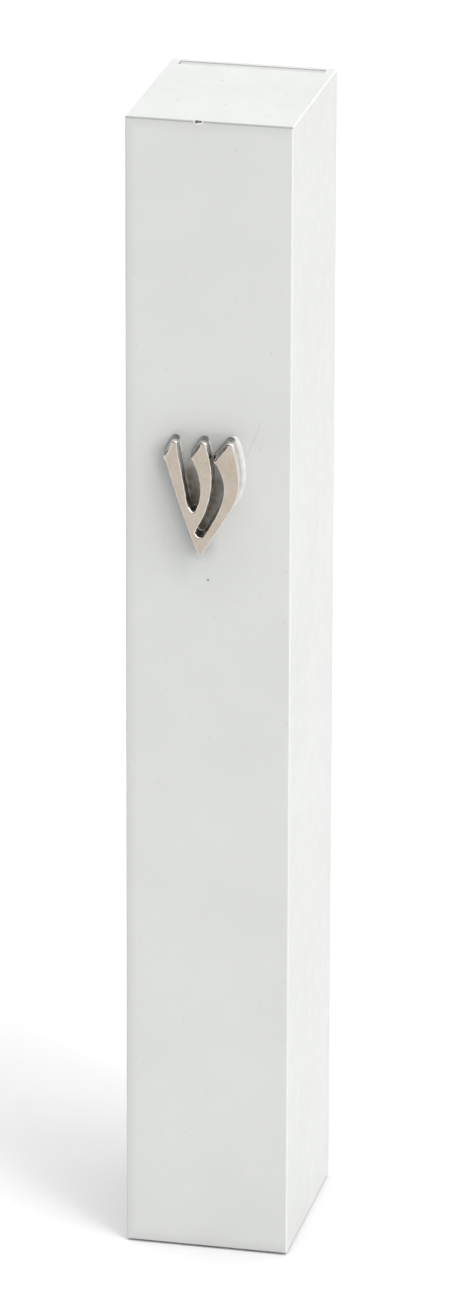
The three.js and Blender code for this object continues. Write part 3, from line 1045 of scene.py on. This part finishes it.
def evenly_spaced(points, step):
    """A closed outline again, with points about a step apart."""
    closed = np.array([*points, points[0]])
    along = np.concatenate([[0], np.cumsum(np.linalg.norm(np.diff(closed, axis=0), axis=1))])
    at = np.linspace(0, along[-1], round(along[-1] / step), endpoint=False)
    return np.stack([np.interp(at, along, closed[:, k]) for k in range(2)], axis=1)


def relaxed(points, passes):
    """A closed outline with its corners eased."""
    for _ in range(passes):
        points = 0.5 * points + 0.25 * (np.roll(points, 1, axis=0) + np.roll(points, -1, axis=0))
    return points


def outward(points):
    """Unit vectors that point out of a closed anticlockwise outline."""
    along = np.roll(points, -1, axis=0) - np.roll(points, 1, axis=0)
    normals = np.stack([along[:, 1], -along[:, 0]], axis=1)
    return normals / np.linalg.norm(normals, axis=1)[:, None]


def spread(values, passes):
    """Values along a closed outline, evened out between neighbours."""
    for _ in range(passes):
        values = 0.5 * values + 0.25 * (np.roll(values, 1) + np.roll(values, -1))
    return values


def seen_from(outline, directions, side_play):
    """From each point: how far ahead each other point lies that way, and whether it is in line."""
    away = outline[None, :, :] - outline[:, None, :]
    ahead = (away * directions[:, None, :]).sum(axis=2)
    aside = np.abs(away[:, :, 0] * directions[:, None, 1] - away[:, :, 1] * directions[:, None, 0])
    return ahead, aside < side_play


def shrunk(outline, distance, steps):
    """A closed outline moved inwards, by less where it is narrow, so that it never crosses itself."""
    ahead, in_line = seen_from(outline, -outward(outline), 0.06 * MM)
    width = np.where(in_line & (ahead > 0.001 * MM), ahead, 3 * MM).min(axis=1)
    inset = np.minimum(distance, 0.3 * width)
    for _ in range(3):
        inset = np.minimum(inset, np.minimum(np.roll(inset, 1), np.roll(inset, -1)))
    inset = spread(inset, 6)
    for _ in range(steps):
        outline = relaxed(outline - outward(outline) * (inset / steps)[:, None], 1)
    return outline


def letter_outline():
    """The letter's outline in metres, as x across and z up in the frame, with its corners eased."""
    points = [LETTER_START]
    for controls, end in LETTER_STRETCHES:
        count = 24 if controls else 1
        points += bezier(points[-1], controls, end, count)
    outline = relaxed(evenly_spaced(points[:-1], 0.07), 2) * MM
    outline[:, 1] += LETTER_LOW.z - outline[:, 1].min()
    return outline


def facing_share(outline, normals, reach):
    """For each point, 1 where another stretch of the outline stands opposite within reach, as in a slot."""
    ahead, in_line = seen_from(outline, normals, 0.2 * MM)
    opposite = in_line & (ahead > 0.1 * MM) & (ahead < reach)
    return spread(opposite.any(axis=1).astype(float), 12)


# The way that the arms' slanting cut ends face, and how far above the lower point they begin.
CUT_END_FACING = (-0.855, 0.52)
CUT_ENDS_FROM = 11.9 * MM


def rounded_share(outline, normals):
    """For each point, 1 on the slanting cut ends of the arms, and less round the rounded spots."""
    up = outline[:, 1] - outline[:, 1].min()
    aligned = normals @ np.array(CUT_END_FACING) > 0.8
    share = spread((aligned & (up > CUT_ENDS_FROM)).astype(float), 8)
    for x, z, reach, amount_there in ROUNDED_SPOTS:
        distance = np.hypot(outline[:, 0] / MM - x, up / MM - z)
        share = np.maximum(share, amount_there * np.exp(-((distance / reach) ** 2)))
    return share


def outer_share(outline, normals):
    """For each point, 1 on the open walls that face right, which get no painted shade."""
    slot_width = 2.4 * MM
    facing = facing_share(outline, normals, slot_width)
    open_right = (normals[:, 0] > 0.35) & (facing < 0.3) & (outline[:, 0] > 0.5 * MM)
    return spread(open_right.astype(float), 10)


def letter_rings(settings, outline, normals, rounded):
    """The letter's rings, from its face to its back.

    Each has an outline, how far out from that it lies, and how far back each of its points lies. Last come
    two shares for the material: how near it is to the rim, and how far down the wall.
    """
    thickness = LETTER_HIGH.y - LETTER_LOW.y
    ends = rounded * settings.end_round
    radii = settings.edge_radius + ends
    inner = shrunk(outline, settings.edge_radius, 8)
    outer = outline + normals * ends[:, None]
    edge_steps, wall_steps = 7, 9
    rings = [(shrunk(inner, 0.04 * MM, 3), 0.0, np.zeros_like(radii), 0.0, 0.0)]
    for i in range(edge_steps + 1):
        turn = math.radians(90 * i / edge_steps)
        share = math.sin(turn)
        between = inner + (outer - inner) * share
        rings.append((between, 0.0, radii * (1 - math.cos(turn)), share, 0.0))
    for i in range(1, wall_steps + 1):
        share = i / wall_steps
        backs = radii + (thickness - radii) * share
        rings.append((outer, settings.flare * share, backs, 1.0 - share, share))
    return rings


class MakeLetter(bpy.types.Operator):
    """Makes the cast metal letter on the cover's front"""

    bl_idname = "mezuzah.make_letter"
    bl_label = "Letter"

    def execute(self, context):
        settings = context.scene.mezuzah_letter
        outline = letter_outline()
        normals = outward(outline)
        rounded = rounded_share(outline, normals)
        cut_ends = np.clip((rounded - 0.6) / 0.4, 0.0, 1.0)
        outer_side = outer_share(outline, normals)
        points, rims, wall_shade = [], [], []
        for shape, out, backs, rim, depth in letter_rings(settings, outline, normals, rounded):
            ring = []
            for (x, z), (nx, nz), back in zip(shape, normals, backs):
                coarse = noise.noise(Vector((x, back * 0.6, z)) / (0.9 * MM))
                fine = noise.noise(Vector((x, back, z)) / (0.35 * MM))
                shift = out + settings.unevenness * (coarse + 0.5 * fine) * min(1.0, back / (0.15 * MM))
                ring.append((x + nx * shift - settings.lean * depth, LETTER_LOW.y + back, z + nz * shift))
            points.append(ring)
            rims += [rim] * len(ring)
            # How much painted shade each point gets: more down the walls, none on the open right walls, and
            # some near the rims of the arms' cut ends.
            wall_shade += list(np.maximum(depth * (1 - outer_side), 0.3 * rim * cut_ends))
        letter = capped_rings("shin_letter", points)
        number_attribute(letter.data, "rim", rims)
        number_attribute(letter.data, "depth", wall_shade)
        shade(letter, limit_degrees=50)
        hand_over(letter, "cover", ["shin_emblem"], letter_nickel(settings))
        return {"FINISHED"}


# Across the bead of glue: shares of its width, and of the glue's thickness above the cover.
GLUE_PROFILE = ((-0.6, 1.0), (0.0, 1.0), (0.35, 0.86), (0.7, 0.5), (0.92, 0.2), (1.0, 0.0))


class MakeGlue(bpy.types.Operator):
    """Makes the thin bed of glue under the letter, which stands out beside the right arm"""

    bl_idname = "mezuzah.make_glue"
    bl_label = "Glue"

    def execute(self, context):
        settings = context.scene.mezuzah_letter
        outline = letter_outline()
        normals = outward(outline)
        thickness = COVER_LOW.y - LETTER_HIGH.y
        right = LETTER_HIGH.x
        rings = []
        for width_share, height_share in GLUE_PROFILE:
            ring = []
            for (x, z), (nx, nz) in zip(outline, normals):
                beside = max(0.0, nx + 0.4 * nz) * min(1.0, max(0.0, (x - right * 0.62) / (right * 0.25)))
                ragged = 0.5 + 0.5 * noise.noise(Vector((x, 0.0, z)) / (2.4 * MM))
                width = 0.06 * MM + (settings.glue_width + settings.lean) * beside * (0.85 + 0.3 * ragged)
                out = settings.flare + width * width_share
                y = COVER_LOW.y - thickness * height_share
                ring.append((x + nx * out - settings.lean, y, z + nz * out))
            rings.append(ring)
        glue = capped_rings("letter_glue", rings)
        shade(glue, limit_degrees=60)
        hand_over(glue, "cover", ["emblem_adhesive"], clear_glue())
        return {"FINISHED"}


# ------------------------------------------------------------------------------------------- back assembly


class MakeBackPlate(bpy.types.Operator):
    """Makes the back plate, with its countersunk holes"""

    bl_idname = "mezuzah.make_back_plate"
    bl_label = "Back plate"

    def execute(self, context):
        settings = context.scene.mezuzah_back
        plate = copy_of("back_plate", "plate_of_the_back")
        soften(plate, settings.edge_radius, limit_degrees=50)
        shade(plate, limit_degrees=30)
        hand_over(plate, "back", ["back_plate"], plate_paint(settings))
        return {"FINISHED"}


class MakeBlocks(bpy.types.Operator):
    """Makes the foot that closes the lower end and the stop that the cover rests on"""

    bl_idname = "mezuzah.make_blocks"
    bl_label = "Foot and stop"

    def execute(self, context):
        settings = context.scene.mezuzah_back
        plastic = moulded_plastic(settings)
        for node, name in (("foot_block", "foot_moulding"), ("stop_block", "stop_moulding")):
            block = copy_of(node, name)
            soften(block, settings.edge_radius, limit_degrees=50)
            shade(block, limit_degrees=30)
            hand_over(block, "back", [node], plastic)
        return {"FINISHED"}


class MakeScrews(bpy.types.Operator):
    """Makes the four small countersunk screws"""

    bl_idname = "mezuzah.make_screws"
    bl_label = "Screws"

    def execute(self, context):
        settings = context.scene.mezuzah_back
        steel = screw_steel(settings)
        for node in ("foot_screw_left", "foot_screw_right", "stop_screw_left", "stop_screw_right"):
            screw = copy_of(node, node + "_turned")
            soften(screw, 0.05 * MM, limit_degrees=50)
            shade(screw, limit_degrees=30)
            hand_over(screw, "back", [node], steel)
        return {"FINISHED"}


def tape_strip(low, high, name):
    """A strip of foam, cut square, with sides that bulge a little."""
    middle = (low + high) / 2
    half_x, half_z = (high.x - low.x) / 2, (high.z - low.z) / 2
    rings = []
    steps = 8
    most = 0.12 * MM
    for i in range(steps + 1):
        share = i / steps
        bulge = most * math.sin(math.pi * share) - most
        ring = []
        for x, z in rounded_rectangle(middle.z, half_x + bulge, half_z + bulge, 0.4 * MM):
            wave = 0.04 * MM * noise.noise(Vector((x, share * MM, z)) / (0.9 * MM))
            ring.append((x + wave, low.y + (high.y - low.y) * share, z + wave))
        rings.append(ring)
    return capped_rings(name, rings)


def liner_sheet(low, high, name, thickness):
    """The peel-off liner: a thin sheet a little larger than the tape, with a tab that stands away."""
    margin, tab = 0.35 * MM, 3.2 * MM
    half_x = (high.x - low.x) / 2 + margin
    z0, z1 = low.z - margin, high.z + margin + tab
    across, up = 12, 60
    front, back = [], []
    for j in range(up + 1):
        z = z0 + (z1 - z0) * j / up
        free = max(0.0, (z - high.z - margin) / tab)
        lift = 0.35 * MM * free**2
        narrow = 1 - 0.25 * max(0.0, (free - 0.55) / 0.45) ** 2
        row = []
        for i in range(across + 1):
            x = half_x * narrow * (2 * i / across - 1)
            ripple = 0.02 * MM * noise.noise(Vector((x, 0.0, z)) / (3.0 * MM))
            row.append(Vector((x, high.y + 0.015 * MM + lift + ripple, z)))
        front.append(row)
        back.append([point + Vector((0, thickness, 0)) for point in row])
    return sheet_body(name, front, back)


class MakeTape(bpy.types.Operator):
    """Makes the two strips of foam tape and their peel-off liners"""

    bl_idname = "mezuzah.make_tape"
    bl_label = "Foam tape"

    def execute(self, context):
        settings = context.scene.mezuzah_back
        foam, paper = tape_foam(settings), liner_paper(settings)
        for node in ("mounting_tape_upper", "mounting_tape_lower"):
            low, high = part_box(node)
            strip = tape_strip(low, high, node + "_foam")
            shade(strip, limit_degrees=50)
            hand_over(strip, "back", [node], foam)
            liner = liner_sheet(low, high, node + "_liner", thickness=0.07 * MM)
            shade(liner, limit_degrees=40)
            hand_over(liner, "back", [], paper)
        return {"FINISHED"}


# ----------------------------------------------------------------------------------- parchment and sleeve


class MakeScroll(bpy.types.Operator):
    """Makes the rolled parchment, blank on both sides"""

    bl_idname = "mezuzah.make_scroll"
    bl_label = "Parchment"

    def execute(self, context):
        settings = context.scene.mezuzah_scroll
        centre_y = (SLEEVE_LOW.y + SLEEVE_HIGH.y) / 2
        outer = (ROLL_HIGH.y - ROLL_LOW.y) / 2 - settings.thickness
        # The edges at both ends are uneven by this much.
        fray = 0.35 * MM
        low_end, height = ROLL_LOW.z + fray, ROLL_HIGH.z - ROLL_LOW.z - 2 * fray
        around, up = round(settings.turns * 36), 30
        inside, outside = [], []
        for j in range(up + 1):
            z_share = j / up
            rows = ([], [])
            for i in range(around + 1):
                share = i / around
                turn = share * settings.turns * 2 * math.pi
                spot = Vector((math.cos(turn), math.sin(turn), z_share * 9 + share * 4))
                wander = 0.06 * MM * noise.noise(spot)
                radius = settings.core_radius + share * (outer - settings.core_radius) + wander
                end = fray * noise.noise(Vector((turn * 0.5, 4.0, 0.0))) * abs(2 * z_share - 1) ** 6
                z = low_end + height * z_share + end
                for row, extra in zip(rows, (0.0, settings.thickness)):
                    reach = radius + extra
                    row.append(Vector((reach * math.cos(turn), centre_y + reach * math.sin(turn), z)))
            inside.append(rows[0])
            outside.append(rows[1])
        roll = sheet_body("parchment_roll", inside, outside)
        shade(roll, limit_degrees=50)
        hand_over(roll, "back", ["scroll"], parchment(settings))
        return {"FINISHED"}


class MakeSleeve(bpy.types.Operator):
    """Makes the clear film sleeve round the parchment, with its sealed seam"""

    bl_idname = "mezuzah.make_sleeve"
    bl_label = "Sleeve"

    def execute(self, context):
        settings = context.scene.mezuzah_scroll
        centre_y = (SLEEVE_LOW.y + SLEEVE_HIGH.y) / 2
        outer = (SLEEVE_HIGH.x - SLEEVE_LOW.x) / 2
        seam_height = 0.12 * MM
        up, around = 40, 96

        def ring(z_share, inner):
            """One ring of the sleeve's inner or outer face, at a share of its height."""
            points = []
            for i in range(around):
                turn = 2 * math.pi * i / around
                spot = Vector((2 * math.cos(turn), 2 * math.sin(turn), z_share * 7))
                crease = 0.07 * MM * noise.noise(spot)
                seam = seam_height * math.exp(-(((turn - 0.5 * math.pi) / 0.09) ** 2))
                radius = outer - seam_height + crease + seam - (settings.film_wall if inner else 0)
                lip = 0.2 * MM * noise.noise(Vector((math.cos(turn), math.sin(turn), 9.0))) * z_share**8
                z = SLEEVE_LOW.z + (SLEEVE_HIGH.z - SLEEVE_LOW.z - 0.25 * MM) * z_share + lip
                points.append((radius * math.cos(turn), centre_y + radius * math.sin(turn), z))
            return points

        outside = [ring(j / up, False) for j in range(up + 1)]
        inside = [ring(j / up, True) for j in range(up, -1, -1)]
        bm = bmesh.new()
        join_rings(bm, outside + inside, wrap=True)
        sleeve = object_from(bm, "film_sleeve")
        shade(sleeve, limit_degrees=50)
        hand_over(sleeve, "back", ["scroll_sleeve"], clear_film(settings))
        return {"FINISHED"}


# --------------------------------------------------------------------------------------------------- stage


def soft_sun(name, towards, power, spread_degrees):
    """A large far light, given by the direction in which it stands."""
    data = bpy.data.lights.new(name, "SUN")
    data.energy = power
    data.angle = math.radians(spread_degrees)
    light = bpy.data.objects.new(name, data)
    light.location = Vector(towards)
    light.rotation_euler = (-Vector(towards)).to_track_quat("-Z", "Y").to_euler()
    bpy.context.scene.collection.objects.link(light)


def studio_world():
    """A wide white ceiling that falls to grey towards the horizon."""
    world = bpy.data.worlds.new("studio")
    world.use_nodes = True
    tree = world.node_tree
    direction = add(tree, "TexCoord").outputs["Generated"]
    height = calc(tree, "MAXIMUM", split(tree, direction)["Z"], 0.0)
    overhead = calc(tree, "POWER", height, 4.0)
    sky = blend_colours(tree, overhead, rgba((0.04, 0.04, 0.041)), rgba((1.0, 1.0, 1.0)))
    background = tree.nodes["Background"]
    tree.links.new(sky, background.inputs["Color"])
    background.inputs["Strength"].default_value = CEILING_STRENGTH
    bpy.context.scene.world = world


def studio_floor(settings):
    """A round floor that curves up into a low rim all round, so that its far edge stays out of sight."""
    flat, rim = settings.floor_radius, settings.rim_height
    curve = [0.5 * math.pi * i / 12 for i in range(13)]
    profile = [(flat + rim * math.sin(turn), rim * (1 - math.cos(turn))) for turn in curve]
    around = [math.tau * i / 96 for i in range(96)]
    bm = bmesh.new()
    loops = join_rings(bm, [[(r * math.cos(a), r * math.sin(a), z) for a in around] for r, z in profile])
    bm.faces.new(loops[0])
    floor = object_from(bm, "floor")
    floor.data.shade_smooth()
    return floor


def studio_camera(settings):
    """A camera with a long lens, which looks at the case from the front, to its right and above."""
    turn, lift = settings.azimuth, settings.elevation
    back = Vector((math.sin(turn) * math.cos(lift), -math.cos(turn) * math.cos(lift), math.sin(lift)))
    data = bpy.data.cameras.new("camera")
    data.lens = settings.lens
    data.sensor_width = 36.0
    data.clip_start, data.clip_end = 0.01, 50.0
    camera = bpy.data.objects.new("camera", data)
    stand = Matrix.Translation(Vector(settings.aim) + back * settings.distance)
    look = (-back).to_track_quat("-Z", "Y").to_matrix().to_4x4()
    camera.matrix_world = stand @ look @ Matrix.Rotation(settings.roll, 4, "Z")
    return camera


class MakeStage(bpy.types.Operator):
    """Makes the floor, the studio lights and the camera"""

    bl_idname = "mezuzah.make_stage"
    bl_label = "Stage"

    def execute(self, context):
        settings = context.scene.mezuzah_stage
        floor = studio_floor(settings)
        floor.data.materials.append(floor_white(settings))
        for name, towards, strength, width in LIGHTS:
            soft_sun(name, towards, strength, width)
        studio_world()
        camera = studio_camera(settings)
        context.scene.collection.objects.link(camera)
        context.scene.camera = camera
        context.scene.view_settings.view_transform = "Standard"
        return {"FINISHED"}


# --------------------------------------------------------------------------------------------------- panel

MAKERS = (
    MakeCover,
    MakeLetter,
    MakeGlue,
    MakeBackPlate,
    MakeBlocks,
    MakeScrews,
    MakeTape,
    MakeScroll,
    MakeSleeve,
    MakeStage,
)


class MezuzahPanel(bpy.types.Panel):
    """Lists the pieces of the mezuzah case and their settings"""

    bl_idname = "VIEW3D_PT_mezuzah_case"
    bl_label = "Mezuzah Case"
    bl_space_type = "VIEW_3D"
    bl_region_type = "UI"
    bl_category = "Mezuzah"

    def draw(self, context):
        for maker in MAKERS:
            self.layout.operator(maker.bl_idname)
        for name, group in SETTINGS.items():
            box = self.layout.box()
            for key in group.__annotations__:
                box.prop(getattr(context.scene, name), key)


CLASSES = (*SETTINGS.values(), *MAKERS, MezuzahPanel)


def register():
    """Adds the settings, the operators and the panel to Blender."""
    for item in CLASSES:
        bpy.utils.register_class(item)
    for name, group in SETTINGS.items():
        setattr(bpy.types.Scene, name, bpy.props.PointerProperty(type=group))


def unregister():
    """Takes the settings, the operators and the panel out of Blender again."""
    for name in SETTINGS:
        delattr(bpy.types.Scene, name)
    for item in reversed(CLASSES):
        bpy.utils.unregister_class(item)


def main():
    """Makes every piece and the stage."""
    register()
    bpy.ops.mezuzah.make_cover()
    bpy.ops.mezuzah.make_letter()
    bpy.ops.mezuzah.make_glue()
    bpy.ops.mezuzah.make_back_plate()
    bpy.ops.mezuzah.make_blocks()
    bpy.ops.mezuzah.make_screws()
    bpy.ops.mezuzah.make_tape()
    bpy.ops.mezuzah.make_scroll()
    bpy.ops.mezuzah.make_sleeve()
    bpy.ops.mezuzah.make_stage()


if __name__ == "__main__":
    main()
